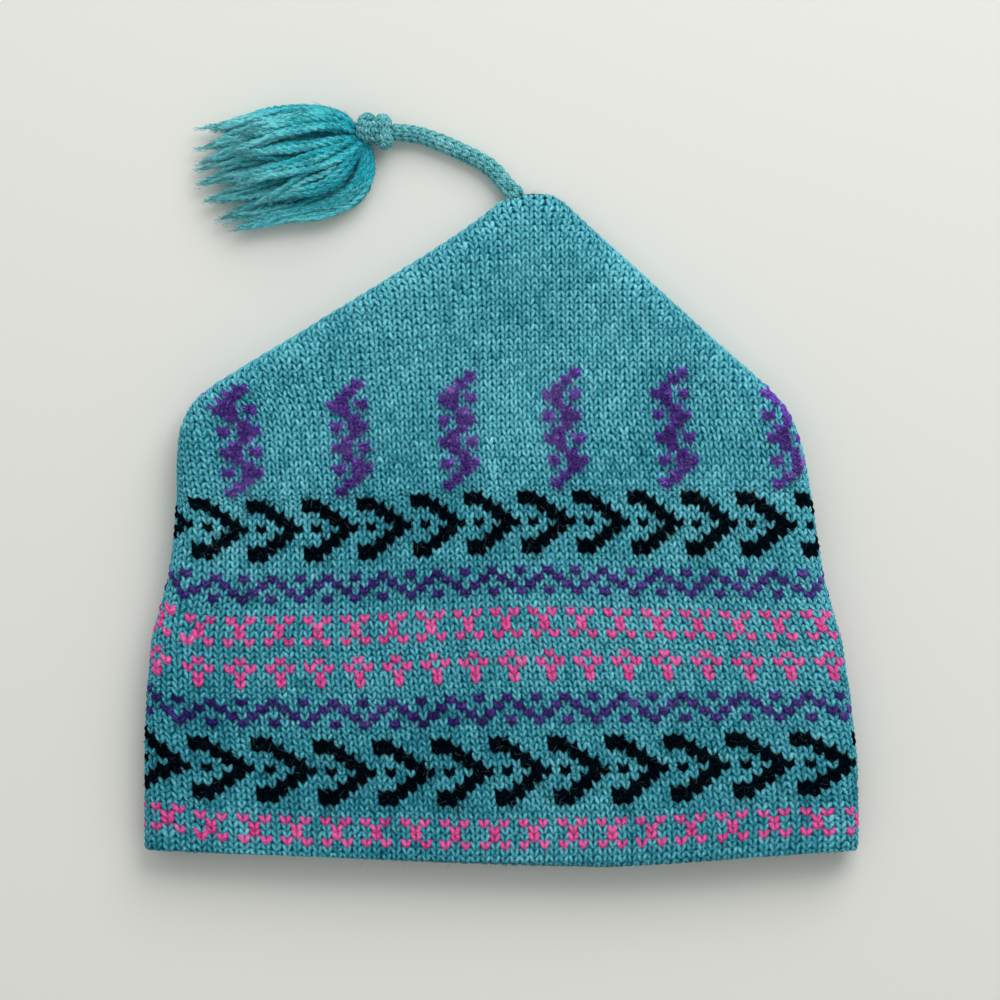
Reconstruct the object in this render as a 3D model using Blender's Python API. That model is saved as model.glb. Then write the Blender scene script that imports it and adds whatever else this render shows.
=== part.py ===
"""A knitted ski hat lying flat, with a knitted cord, its knot and a yarn tassel at the point.

Metres, +Z up. The hat lies in the XY plane with its mouth towards -Y and its point towards +Y.
"""

from collections import namedtuple
from math import cos, pi, sin

import bmesh
import bpy
from mathutils import Vector

# Sizes of the hat's body
HEM_WIDTH = 0.260
BODY_LENGTH = 0.2386  # from the hem's corners to the point
HEM_BOW = 0.0052  # the front hem bows this far below its corners
BACK_DROP = 0.0020  # the under layer's hem shows this far below the front one
HEM_ROUND = 0.0008
LYING_THICKNESS = 0.021
WALL = 0.0028
FOLD_DEPTH = 0.012  # width of the rounded fold along each side
CROWNING = 0.22  # share of its half thickness that the top layer loses towards the folds

# Sizes of what hangs from the point
CORD_DIAMETER = 0.0068
KNOT_TURN = 0.0138  # outer diameter of the cord's turn round itself
KNOT_SQUEEZE = 0.86  # the cord's diameter in the tight turns, as a share of its own
TASSEL_LENGTH = 0.0631
TASSEL_WIDTH = 0.0500
TASSEL_HEIGHT = 0.0210
LOCK_GIRTH = 0.0108
CLEARANCE = 0.0003

# Fineness of the solids
FOLD_STEPS = 4
FLAT_STEPS = 9
RINGS_PER_SECTION = 2
CORD_STEPS = 10
LOCK_STEPS = 9

# The body from hem to point: height as a share of BODY_LENGTH, the left and right folds as
# shares of HEM_WIDTH from the centre line, and thickness as a share of LYING_THICKNESS.
Section = namedtuple("Section", "height left right thickness")
SECTIONS = [
    Section(0.000, 0.500, 0.500, 0.78),
    Section(0.090, 0.500, 0.500, 0.88),
    Section(0.180, 0.499, 0.494, 0.95),
    Section(0.318, 0.490, 0.472, 1.00),
    Section(0.409, 0.467, 0.447, 1.00),
    Section(0.530, 0.455, 0.430, 1.00),
    Section(0.614, 0.452, 0.418, 0.98),
    Section(0.664, 0.434, 0.402, 0.95),
    Section(0.705, 0.393, 0.372, 0.91),
    Section(0.788, 0.271, 0.281, 0.84),
    Section(0.891, 0.123, 0.178, 0.73),
    Section(0.947, 0.050, 0.121, 0.62),
    Section(0.980, 0.010, 0.088, 0.50),
    Section(0.994, -0.009, 0.068, 0.36),
    Section(1.000, -0.023, 0.055, 0.17),
]

# The hem's bow: deepest this far across, as a share of half the width, and fading with height
BOW_DEEPEST = 0.29
BOW_CURVE = 1.3
BOW_FADES_AT = 0.40

# The cord's way from the point of the hat to the knot, lying on the surface
CORD_ROUTE = [
    Vector((0.0039, 0.1236, 0.0039)),
    Vector((0.0016, 0.1260, 0.0037)),
    Vector((-0.0021, 0.1303, 0.0036)),
    Vector((-0.0050, 0.1329, 0.0036)),
    Vector((-0.0099, 0.1358, 0.0036)),
    Vector((-0.0163, 0.1387, 0.0036)),
    Vector((-0.0212, 0.1409, 0.0036)),
    Vector((-0.0277, 0.1433, 0.0038)),
    Vector((-0.0330, 0.1445, 0.0043)),
    Vector((-0.0390, 0.1449, 0.0053)),
]

# The knot's turns from the cord's end: along is how far on towards the tassel, and across how
# far towards -Y, as shares of KNOT_TURN; turn is its outer diameter as a share of the same, and
# lean turns it about Z in degrees.
Turn = namedtuple("Turn", "along across turn lean")
TURNS = [
    Turn(0.290, 0.00, 1.00, 8.0),
    Turn(0.760, -0.03, 0.92, -10.0),
]

# The tassel's locks from its head: shoulder, belly and tip, each along towards -X as a share of
# TASSEL_LENGTH, across towards -Y as a share of TASSEL_WIDTH, rise as a share of TASSEL_HEIGHT,
# and its full girth as a share of LOCK_GIRTH.
Lock = namedtuple(
    "Lock", "shoulder_along shoulder_across belly_along belly_across tip_along tip_across rise girth"
)
LOCKS = [
    Lock(0.115, -0.116, 0.374, -0.145, 0.851, -0.022, 0.26, 0.96),
    Lock(0.144, -0.065, 0.431, -0.043, 0.903, 0.101, 0.26, 1.00),
    Lock(0.155, 0.029, 0.460, 0.087, 0.891, 0.232, 0.26, 1.00),
    Lock(0.144, 0.116, 0.431, 0.210, 0.862, 0.348, 0.26, 1.00),
    Lock(0.098, 0.203, 0.374, 0.333, 0.845, 0.486, 0.26, 1.00),
    Lock(0.034, 0.261, 0.270, 0.442, 0.713, 0.594, 0.26, 1.00),
    Lock(-0.020, 0.275, 0.126, 0.500, 0.632, 0.667, 0.26, 0.98),
    Lock(0.115, -0.087, 0.316, -0.072, 0.672, 0.007, 0.66, 0.90),
    Lock(0.126, 0.000, 0.345, 0.065, 0.701, 0.152, 0.71, 1.00),
    Lock(0.103, 0.116, 0.276, 0.217, 0.655, 0.348, 0.71, 1.00),
    Lock(0.046, 0.188, 0.172, 0.362, 0.517, 0.514, 0.66, 0.96),
]
LOCK_GIRTHS = [0.62, 0.90, 1.00, 0.96, 0.74, 0.44]  # evenly from root to tip, of the full girth
LOCK_LIFTS = [0.0, 0.55, 1.0, 0.70]  # at root, shoulder, belly and tip, of its rise
HEAD_GIRTH = 0.0120
HEAD_SINK = 0.30  # share of the last turn's diameter that the head reaches under it

YARN_TEAL = (0.075, 0.33, 0.37)
YARN_TEAL_PALE = (0.10, 0.38, 0.41)


def clear_scene():
    for old in list(bpy.data.objects):
        bpy.data.objects.remove(old, do_unlink=True)


def new_collection(name):
    collection = bpy.data.collections.new(name)
    bpy.context.scene.collection.children.link(collection)
    return collection


def yarn(name, colour, roughness):
    material = bpy.data.materials.new(name)
    material.use_nodes = True
    shader = material.node_tree.nodes["Principled BSDF"]
    shader.inputs["Base Color"].default_value = (*colour, 1.0)
    shader.inputs["Roughness"].default_value = roughness
    shader.inputs["Metallic"].default_value = 0.0
    return material


def add_object(name, data, collection, material):
    made = bpy.data.objects.new(name, data)
    if material is not None:
        made.data.materials.append(material)
    collection.objects.link(made)
    return made


def smooth_between(rows, share):
    """A point on the smooth curve through the rows, share running from 0 to 1 over them all."""
    place = share * (len(rows) - 1)
    at = min(int(place), len(rows) - 2)
    t = place - at
    before, start = rows[max(at - 1, 0)], rows[at]
    end, after = rows[at + 1], rows[min(at + 2, len(rows) - 1)]
    return [
        0.5 * (2 * b + (c - a) * t + (2 * a - 5 * b + 4 * c - d) * t**2 + (3 * b - a - 3 * c + d) * t**3)
        for a, b, c, d in zip(before, start, end, after)
    ]


def body_sections():
    count = (len(SECTIONS) - 1) * RINGS_PER_SECTION
    return [Section(*smooth_between(SECTIONS, k / count)) for k in range(count + 1)]


def half_profile(width, fold):
    """Distances from the left fold across one layer, each with how far the layer has opened."""
    turn = [(fold * (1 - cos(a)), sin(a)) for a in (pi / 2 * k / FOLD_STEPS for k in range(FOLD_STEPS))]
    flat = [(fold + (width - 2 * fold) * k / FLAT_STEPS, 1.0) for k in range(FLAT_STEPS + 1)]
    back = [(width - distance, opened) for distance, opened in reversed(turn)]
    return turn + flat + back[:-1]


def hem_bow(across, height):
    """How far the hem's bow pulls the knitting down here, as a share of its depth."""
    side = across - BOW_DEEPEST
    reach = 1 - BOW_DEEPEST if side > 0 else 1 + BOW_DEEPEST
    faded = max(0.0, 1 - height / BOW_FADES_AT) ** 2
    return (1 - min(abs(side) / reach, 1.0) ** BOW_CURVE) * faded


def body_ring(section, inset, hem_reach=0.0):
    """One closed ring round the body, inset from its outer surface."""
    left = inset - section.left * HEM_WIDTH
    right = section.right * HEM_WIDTH - inset
    half = section.thickness * LYING_THICKNESS / 2 - inset
    middle = section.thickness * LYING_THICKNESS / 2
    width = right - left
    fold = min(max(FOLD_DEPTH - inset, WALL), 0.48 * width)
    corner_y = (HEM_BOW + BACK_DROP + HEM_ROUND - BODY_LENGTH) / 2
    level_y = corner_y + section.height * (BODY_LENGTH - 1.2 * inset) - hem_reach
    profile = half_profile(width, fold)
    ring = []
    for distance, opened in profile:
        across = 2 * distance / width - 1
        rise = opened * half * (1 - CROWNING * across**2)
        y = level_y - HEM_BOW * hem_bow(across, section.height)
        ring.append(Vector((left + distance, y, middle + rise)))
    for distance, opened in profile:
        across = 1 - 2 * distance / width
        y = level_y - (HEM_BOW + BACK_DROP) * hem_bow(across, section.height)
        ring.append(Vector((right - distance, y, middle - opened * half)))
    return ring


def loft(name, rings):
    """A closed body through rings with as many points each, with both ends capped."""
    bm = bmesh.new()
    loops = [[bm.verts.new(point) for point in ring] for ring in rings]
    count = len(rings[0])
    for one, other in zip(loops, loops[1:]):
        for k in range(count):
            bm.faces.new((one[k - 1], one[k], other[k], other[k - 1]))
    for cap in (loops[0], loops[-1]):
        bm.faces.new(cap)
    bmesh.ops.recalc_face_normals(bm, faces=bm.faces)
    mesh = bpy.data.meshes.new(name)
    bm.to_mesh(mesh)
    bm.free()
    mesh.shade_smooth()
    return mesh


def knit_body(collection):
    """The tube of knitting: its outer surface, its rounded hem edge and its inner surface."""
    sections = body_sections()
    outside = [body_ring(section, 0.0) for section in reversed(sections)]
    hem_edge = [body_ring(sections[0], WALL / 2, HEM_ROUND)]
    least = 2 * WALL + HEM_ROUND
    inside = [body_ring(s, WALL) for s in sections if s.thickness * LYING_THICKNESS > least]
    mesh = loft("knit_body", outside + hem_edge + inside)
    return add_object("knit_body", mesh, collection, yarn("teal_yarn", YARN_TEAL, 0.92))


def yarn_tube(name, points, radius, radii, resolution, collection, material):
    """A curve object with a round section, thick by the radii at its points."""
    curve = bpy.data.curves.new(name, "CURVE")
    curve.dimensions = "3D"
    curve.bevel_depth = radius
    curve.bevel_resolution = resolution
    curve.use_fill_caps = True
    spline = curve.splines.new("POLY")
    spline.points.add(len(points) - 1)
    for slot, point, share in zip(spline.points, points, radii):
        slot.co = (*point, 1.0)
        slot.radius = share
    return add_object(name, curve, collection, material)


def tassel_cord(collection):
    """The knitted cord, a plain tube along the route, a clearance short of the knot."""
    points = [smooth_between(CORD_ROUTE, k / CORD_STEPS) for k in range(CORD_STEPS + 1)]
    material = yarn("teal_cord_yarn", YARN_TEAL, 0.9)
    radii = [1.0] * len(points)
    return yarn_tube("tassel_cord", points, CORD_DIAMETER / 2, radii, 2, collection, material)


def into(collection, made, name):
    """Moves the object that an operator has just made into a collection, under its name."""
    made.name = name
    made.data.name = name
    for old in list(made.users_collection):
        old.objects.unlink(made)
    collection.objects.link(made)
    made.data.shade_smooth()
    return made


def combine(base, others, operation):
    """Unites the others with the base, or cuts them from it, by Booleans that stay on it."""
    for other in others:
        other.hide_render = True
        other.display_type = "WIRE"
        step = base.modifiers.new(f"{operation.lower()}_{other.name}", "BOOLEAN")
        step.operation = operation
        step.solver = "EXACT"
        step.object = other
    return base


def knot_place(turn):
    end = CORD_ROUTE[-1]
    x = end.x - turn.along * KNOT_TURN
    y = end.y - turn.across * KNOT_TURN
    return Vector((x, y, KNOT_TURN / 2 + CLEARANCE))


def knot_shapes(prefix, swell, collection):
    """The knot's round core and its turns, each thicker all round by swell."""
    minor = KNOT_SQUEEZE * CORD_DIAMETER / 2
    middle = (knot_place(TURNS[0]) + knot_place(TURNS[-1])) / 2
    core_radius = KNOT_TURN / 2 - 0.6 * minor + swell
    bpy.ops.mesh.primitive_uv_sphere_add(segments=12, ring_count=8, radius=core_radius)
    core = into(collection, bpy.context.object, f"{prefix}_core")
    core.location = middle
    turns = []
    for index, turn in enumerate(TURNS):
        bpy.ops.mesh.primitive_torus_add(
            major_segments=16,
            minor_segments=10,
            major_radius=KNOT_TURN * turn.turn / 2 - minor,
            minor_radius=minor + swell,
        )
        ring = into(collection, bpy.context.object, f"{prefix}_turn_{index}")
        ring.rotation_euler = (0.0, pi / 2, turn.lean * pi / 180)
        ring.location = knot_place(turn)
        turns.append(ring)
    return core, turns


def cord_knot(collection, cutters):
    """Two turns of the cord round itself, pulled tight over a round core."""
    core, turns = knot_shapes("knot", 0.0, cutters)
    into(collection, core, "cord_knot")
    core.data.materials.append(yarn("teal_knot_yarn", YARN_TEAL, 0.9))
    return combine(core, turns, "UNION")


def lock_points(lock, root):
    """The lock's centre line: a smooth curve from the head over shoulder and belly to its tip."""
    ways = [
        (0.0, 0.0),
        (lock.shoulder_along, lock.shoulder_across),
        (lock.belly_along, lock.belly_across),
        (lock.tip_along, lock.tip_across),
    ]
    stops = []
    for (along, across), lift in zip(ways, LOCK_LIFTS):
        level = (1 - lift) * root.z + lift * lock.rise * TASSEL_HEIGHT
        stops.append((root.x - along * TASSEL_LENGTH, root.y - across * TASSEL_WIDTH, level))
    return [smooth_between(stops, k / LOCK_STEPS) for k in range(LOCK_STEPS + 1)]


def lock_girths(lock):
    rows = [(girth,) for girth in LOCK_GIRTHS]
    return [lock.girth * smooth_between(rows, k / LOCK_STEPS)[0] for k in range(LOCK_STEPS + 1)]


def meshed(curve_object, cutters):
    """The curve's solid as a mesh object of its own, with its caps welded on."""
    bpy.context.view_layer.update()
    evaluated = curve_object.evaluated_get(bpy.context.evaluated_depsgraph_get())
    mesh = bpy.data.meshes.new_from_object(evaluated)
    bm = bmesh.new()
    bm.from_mesh(mesh)
    bmesh.ops.remove_doubles(bm, verts=bm.verts, dist=1e-6)
    bmesh.ops.recalc_face_normals(bm, faces=bm.faces)
    bm.to_mesh(mesh)
    bm.free()
    name = curve_object.name
    place = curve_object.matrix_world.copy()
    bpy.data.objects.remove(curve_object, do_unlink=True)
    made = bpy.data.objects.new(name, mesh)
    made.matrix_world = place
    cutters.objects.link(made)
    return made


def tassel(collection, cutters):
    """The bundle of cut yarn: its head under the knot and the locks that its strands fall into."""
    last = knot_place(TURNS[-1])
    radius = HEAD_GIRTH / 2
    turn_edge = last.x - KNOT_SQUEEZE * CORD_DIAMETER / 2
    head_x = turn_edge - radius + HEAD_SINK * KNOT_TURN
    head = Vector((head_x, last.y - HEAD_SINK * KNOT_TURN / 2, radius + CLEARANCE))
    locks = []
    for index, lock in enumerate(LOCKS):
        points = lock_points(lock, head)
        tube = yarn_tube(f"lock_{index}", points, LOCK_GIRTH / 2, lock_girths(lock), 2, cutters, None)
        locks.append(meshed(tube, cutters))
    bpy.ops.mesh.primitive_uv_sphere_add(segments=12, ring_count=8, radius=radius)
    bundle = into(collection, bpy.context.object, "tassel")
    bundle.location = head
    bundle.data.materials.append(yarn("teal_tassel_yarn", YARN_TEAL_PALE, 0.95))
    combine(bundle, locks, "UNION")
    room_core, room_turns = knot_shapes("room", CLEARANCE, cutters)
    return combine(bundle, [room_core, *room_turns], "DIFFERENCE")


def build():
    clear_scene()
    hat = new_collection("ski_hat")
    cutters = new_collection("joined_and_cut_shapes")
    knit_body(hat)
    tassel_cord(hat)
    cord_knot(hat, cutters)
    tassel(hat, cutters)


build()
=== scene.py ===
from collections import namedtuple
from math import ceil, cos, pi, radians, sin

import bmesh
import bpy
import numpy as np
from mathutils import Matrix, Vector


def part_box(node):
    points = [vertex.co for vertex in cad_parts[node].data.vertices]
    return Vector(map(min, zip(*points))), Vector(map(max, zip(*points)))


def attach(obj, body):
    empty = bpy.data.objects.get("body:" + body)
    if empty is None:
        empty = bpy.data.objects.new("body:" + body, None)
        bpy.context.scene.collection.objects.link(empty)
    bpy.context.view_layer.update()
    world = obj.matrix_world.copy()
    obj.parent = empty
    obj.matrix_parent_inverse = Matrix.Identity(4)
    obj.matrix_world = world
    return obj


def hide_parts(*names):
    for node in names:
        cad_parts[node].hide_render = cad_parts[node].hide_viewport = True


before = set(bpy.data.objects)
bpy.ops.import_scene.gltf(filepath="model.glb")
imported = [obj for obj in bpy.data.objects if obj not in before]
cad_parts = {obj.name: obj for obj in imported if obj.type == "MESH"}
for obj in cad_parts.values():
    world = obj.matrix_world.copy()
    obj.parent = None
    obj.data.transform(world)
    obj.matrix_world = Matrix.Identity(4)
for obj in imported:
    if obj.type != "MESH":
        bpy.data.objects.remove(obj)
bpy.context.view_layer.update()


# The hat lies on a plain pale floor and is looked at from straight above, under a pale sky and two
# large soft lights beyond its point. The frame takes in PHOTO_SPAN at the hat's height.
PHOTO_SPAN = 0.3626
VIEW_CENTRE = (-0.00054, 0.01088)
HAT_LEVEL = 0.014
CAMERA_HEIGHT = 1.60
SENSOR = 36.0
camera_data = bpy.data.cameras.new("overhead_camera")
camera_data.sensor_width = SENSOR
camera_data.lens = SENSOR * (CAMERA_HEIGHT - HAT_LEVEL) / PHOTO_SPAN
camera = bpy.data.objects.new("overhead_camera", camera_data)
camera.location = (*VIEW_CENTRE, CAMERA_HEIGHT)
bpy.context.scene.collection.objects.link(camera)
bpy.context.scene.camera = camera
bpy.context.scene.view_settings.view_transform = "Standard"


def soft_light(name, place, aim, side, watts):
    lamp = bpy.data.lights.new(name, "AREA")
    lamp.shape = "SQUARE"
    lamp.size = side
    lamp.energy = watts
    made = bpy.data.objects.new(name, lamp)
    made.location = place
    made.rotation_euler = (Vector(aim) - Vector(place)).to_track_quat("-Z", "Y").to_euler()
    bpy.context.scene.collection.objects.link(made)


soft_light("window_light", (0.50, 1.10, 1.00), (0, 0.05, 0), 1.2, 16.5)
soft_light("room_light", (-0.75, 0.85, 1.3), (0, 0.05, 0), 1.8, 3.6)
sky = bpy.data.worlds.new("pale_room")
sky.use_nodes = True
sky.node_tree.nodes["Background"].inputs["Color"].default_value = (0.96, 1.0, 1.0, 1)
sky.node_tree.nodes["Background"].inputs["Strength"].default_value = 0.48
bpy.context.scene.world = sky


def finish_named(name, roughness, gloss):
    """A new material, its nodes and its shader."""
    material = bpy.data.materials.new(name)
    material.use_nodes = True
    tree = material.node_tree
    shader = tree.nodes["Principled BSDF"]
    shader.inputs["Roughness"].default_value = roughness
    shader.inputs["Specular IOR Level"].default_value = gloss
    return material, tree, shader


def shown(name, mesh, finish):
    """The mesh in its finish, as an object of the scene."""
    mesh.materials.append(finish)
    made = bpy.data.objects.new(name, mesh)
    bpy.context.scene.collection.objects.link(made)
    return made


FLOOR_SIDE = 12.0
floor_finish, _, floor_shader = finish_named("pale_floor", 0.9, 0.2)
floor_shader.inputs["Base Color"].default_value = (0.815, 0.803, 0.752, 1)
bm = bmesh.new()
bmesh.ops.create_grid(bm, x_segments=1, y_segments=1, size=FLOOR_SIDE / 2)
floor_mesh = bpy.data.meshes.new("floor")
bm.to_mesh(floor_mesh)
bm.free()
floor = shown("floor", floor_mesh, floor_finish)


# The tassel's cord is knitted in a narrow tube of the hat's own yarn. It leaves the point of the
# hat, lies on the floor in one easy curve and ends in the knot that holds the tassel.
CORD_DIAMETER = 0.0068
CORD_ROUTE = [
    Vector((0.0039, 0.1236, 0.0039)),
    Vector((0.0016, 0.1260, 0.0037)),
    Vector((-0.0021, 0.1303, 0.0036)),
    Vector((-0.0050, 0.1329, 0.0036)),
    Vector((-0.0099, 0.1358, 0.0036)),
    Vector((-0.0163, 0.1387, 0.0036)),
    Vector((-0.0212, 0.1409, 0.0036)),
    Vector((-0.0277, 0.1433, 0.0038)),
    Vector((-0.0330, 0.1445, 0.0043)),
    Vector((-0.0390, 0.1449, 0.0053)),
]
CORD_WALES = 6
CORD_ROW = 0.00335
CORD_YARN_RISE = 0.0011
CORD_PLUMP = 1.40
CORD_LEG_FACES = (6, 6)
CORD_ENDS = 0.0030
CORE_FACES = (16, 60)
# The cores show only between the legs and take the yarn's deepest tone: painted shade.
CORE_SHADE_TONE = 0.1
CORE_ROUNDED = 1 / 16
SEAM = 1e-6
TEAL_DEEP = (0.001, 0.085, 0.138, 1)
TEAL = (0.024, 0.308, 0.400, 1)
TEAL_LIGHT = (0.270, 0.780, 0.860, 1)


def smooth_rows(rows, count):
    """Count rows evenly along the smooth curve through the given rows of numbers."""
    rows = np.array(rows, float)
    place = np.linspace(0, len(rows) - 1, count)
    at = np.minimum(place.astype(int), len(rows) - 2)
    t = (place - at)[:, None]
    a, b = rows[np.maximum(at - 1, 0)], rows[at]
    c, d = rows[at + 1], rows[np.minimum(at + 2, len(rows) - 1)]
    square, cube = t**2, t**3
    return 0.5 * (2 * b + (c - a) * t + (2 * a - 5 * b + 4 * c - d) * square + (3 * b - a - 3 * c + d) * cube)


def run_lengths(points):
    """How far along the line each point is."""
    steps = np.linalg.norm(np.diff(points, axis=0), axis=1)
    return np.concatenate([[0.0], np.cumsum(steps)])


def unit(vectors):
    return vectors / np.maximum(np.linalg.norm(vectors, axis=-1, keepdims=True), 1e-12)


def grid_patch(across, along):
    """A strip of quads from an operator: x from -1 to 1 across, y from 0 to 1 along, and its faces."""
    bm = bmesh.new()
    bmesh.ops.create_grid(bm, x_segments=across, y_segments=along, size=1.0)
    patch = np.array([v.co[:2] for v in bm.verts])
    patch[:, 1] = (patch[:, 1] + 1) / 2
    faces = np.array([[v.index for v in face.verts] for face in bm.faces])
    bm.free()
    return patch, faces


SHEET_MARGIN = 0.06


def joined_piece(name, points, faces, uv, tone, finish, merge=0.0):
    """One mesh of many like shapes: points (shape, point, 3), the same faces and uv for each.

    Where merge is given, points closer than it become one and the faces turn outwards.
    """
    shapes, per_shape = points.shape[:2]
    every_face = (faces[None] + (np.arange(shapes) * per_shape)[:, None, None]).reshape(-1, faces.shape[1])
    mesh = bpy.data.meshes.new(name)
    mesh.vertices.add(shapes * per_shape)
    mesh.vertices.foreach_set("co", points.astype(np.float32).ravel())
    mesh.loops.add(every_face.size)
    mesh.loops.foreach_set("vertex_index", every_face.astype(np.int32).ravel())
    mesh.polygons.add(len(every_face))
    mesh.polygons.foreach_set("loop_start", np.arange(0, every_face.size, faces.shape[1], dtype=np.int32))
    mesh.update(calc_edges=True)
    mesh.polygons.foreach_set("use_smooth", np.ones(len(every_face), bool))
    columns = ceil(shapes**0.5)
    cell = np.stack([np.arange(shapes) % columns, np.arange(shapes) // columns], axis=1)
    flat = np.stack([(uv[:, 0] + 1) / 2, uv[:, 1]], axis=1)
    inside = SHEET_MARGIN + (1 - 2 * SHEET_MARGIN) * flat
    sheet = (cell[:, None] + inside[None]) / columns
    for layer, where in (("OFBake", sheet), ("strand", np.broadcast_to(uv[None], (shapes, per_shape, 2)))):
        at_corners = where.reshape(-1, 2)[every_face.ravel()]
        mesh.uv_layers.new(name=layer).data.foreach_set("uv", at_corners.astype(np.float32).ravel())
    shade = mesh.attributes.new("tone", "FLOAT", "POINT")
    shade.data.foreach_set("value", np.broadcast_to(tone, points.shape[:2]).astype(np.float32).ravel())
    if merge:
        bm = bmesh.new()
        bm.from_mesh(mesh)
        bmesh.ops.remove_doubles(bm, verts=bm.verts, dist=merge)
        bmesh.ops.recalc_face_normals(bm, faces=bm.faces)
        bm.to_mesh(mesh)
        bm.free()
    made = shown(name, mesh, finish)
    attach(made, "root")
    return made


# A leg of a knitted stitch from its foot to its top: how far up as a share of a row, out from the
# wale's middle and half as wide as shares of a wale, and how high as a share of the yarn's rise.
LegStop = namedtuple("LegStop", "up out half_width rise")
LEG_STOPS = [
    LegStop(-0.64, 0.015, 0.045, -0.55),
    LegStop(-0.30, 0.090, 0.165, 0.42),
    LegStop(0.08, 0.190, 0.228, 0.92),
    LegStop(0.47, 0.296, 0.238, 1.00),
    LegStop(0.82, 0.368, 0.185, 0.52),
    LegStop(1.04, 0.392, 0.065, -0.35),
]
LEG_STEPS = 40
# How unevenly stitches lie, in wales and rows, and how much they differ in size and tone
WALE_STRAY, ROW_STRAY, LEAN_STRAY = 0.022, 0.035, 0.03
SWELL_STRAY, REACH_STRAY, RISE_STRAY = 0.06, 0.035, 0.04
STITCH_TONE_STRAY, LEG_TONE_STRAY = 0.05, 0.04
# How far a leg's edges sink below its ridge, low and high on the leg, and its tone away from it: painted
# shade away from the ridge, and how fast the painted highlight along the ridge fades towards the foot and top
EDGE_SINK, LOW_EDGE_SINK = 0.90, 0.35
PAINTED_SHADE_BELOW_RIDGE, PAINTED_HIGHLIGHT_FADE = 0.62, 0.6
# Where the two legs lie side by side on the yarn's own map
LEG_UV_WIDTH, LEG_UV_APART = 0.46, 0.52


def stitches(
    name, wales, rows, place, leg_faces, rise, plump, finish, rng, reach=1.0, depth=0.5, loose=1.0
):
    """Both legs of each stitch at the given wales and rows, laid on a surface by place."""

    def stray(spread):
        return rng.normal(0, spread, (len(wales) * 2, 1))

    patch, faces = grid_patch(*leg_faces)
    stops = smooth_rows(LEG_STOPS, LEG_STEPS + 1)
    t = patch[:, 1] * LEG_STEPS
    up, out, half, high = (np.interp(t, np.arange(LEG_STEPS + 1), stops[:, k]) for k in range(4))
    turn = patch[:, 0] * pi / 2
    side = np.tile([-1.0, 1.0], len(wales))[:, None]
    wale = np.repeat(wales, 2)[:, None] + stray(WALE_STRAY * loose)
    row = np.repeat(rows, 2)[:, None] + stray(ROW_STRAY * loose)
    swell = 1 + stray(SWELL_STRAY * loose)
    lean = stray(LEAN_STRAY * loose)
    reach = np.repeat(reach * (1 + rng.normal(0, REACH_STRAY, len(wales))), 2)[:, None]
    width = half * plump * swell * (1 + reach) / 2
    x = wale + side * (out * reach + lean * patch[:, 1]) + width * np.sin(turn) * side
    y = row + up * reach * (1 + stray(RISE_STRAY))
    sink = EDGE_SINK * (1 - np.cos(turn)) * (LOW_EDGE_SINK + (1 - LOW_EDGE_SINK) * np.maximum(high, 0))
    points, normals = place(x, y)
    laid = points + normals * (rise * swell * (high - sink))[..., None]
    tone = 0.5 + np.repeat(rng.normal(0, STITCH_TONE_STRAY, len(wales)), 2)[:, None] + stray(LEG_TONE_STRAY)
    # Painted light and shade: each leg is lighter along its ridge and darker at its edges, its foot and its
    # top.
    tone = tone + depth * (np.cos(turn) * np.sin(pi * patch[:, 1]) ** PAINTED_HIGHLIGHT_FADE - PAINTED_SHADE_BELOW_RIDGE)
    pairs = np.concatenate([laid[0::2], laid[1::2]], axis=1)
    pair_faces = np.concatenate([faces[:, ::-1], faces + len(patch)])
    pair_uv = np.concatenate([patch * (LEG_UV_WIDTH, 1) + (way * LEG_UV_APART, 0) for way in (-1, 1)])
    pair_tone = np.concatenate([tone[0::2], tone[1::2]], axis=1)
    return joined_piece(name, pairs, pair_faces, pair_uv, pair_tone, finish)


def worked(tree, kind, first, second):
    """A sum, a difference or a product of two sockets, or of a socket and a number."""
    node = tree.nodes.new("ShaderNodeMath")
    node.operation = kind
    for socket, value in zip(node.inputs, (first, second)):
        if isinstance(value, float):
            socket.default_value = value
        else:
            tree.links.new(value, socket)
    return node.outputs[0]


def pattern(tree, kind, vector, **values):
    """A texture or a mapping that reads the vector, with its values set."""
    node = tree.nodes.new(f"ShaderNode{kind}")
    for name, value in values.items():
        node.inputs[name].default_value = value
    tree.links.new(vector, node.inputs["Vector"])
    return node


def coloured(tree, shader, tone, stops):
    """The shader's colour by the tone, from stops of position and colour in rising order."""
    node = tree.nodes.new("ShaderNodeValToRGB")
    marks = node.color_ramp.elements
    for mark, (position, colour) in zip(marks, (stops[0], stops[-1])):
        mark.position = position
        mark.color = colour
    for position, colour in stops[1:-1]:
        marks.new(position).color = colour
    tree.links.new(tone, node.inputs["Fac"])
    tree.links.new(node.outputs["Color"], shader.inputs["Base Color"])


def raised(tree, shader, height, strength, distance):
    """A fine relief in the shader's surface."""
    node = tree.nodes.new("ShaderNodeBump")
    node.inputs["Strength"].default_value = strength
    node.inputs["Distance"].default_value = distance
    tree.links.new(height, node.inputs["Height"])
    tree.links.new(node.outputs["Normal"], shader.inputs["Normal"])


WOOL_ROUGHNESS, WOOL_SHEEN_ROUGHNESS = 0.88, 0.45
DYE_SCALE, FIBRE_SCALE, TWIST_SCALE = 26.0, 1500.0, 0.85
FIBRE_SHOWS, TWIST_PAINTED_SHADE, PAINTED_HEM_SHADE = 1.1, 0.26, 0.55
STRAND_APART = 60.0
STREAK_TURN, STREAK_STRETCH = radians(12), (9.0, 1.3, 1.0)
TWIST_TURN, TWIST_STRETCH = radians(35), (1.2, 2.4, 1.0)
DEEP_TONE, MIDDLE_TONE, LIGHT_TONE = 0.12, 0.5, 0.95
FIBRE_RELIEF, FIBRE_IN_RELIEF = 0.55, 0.9


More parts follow.
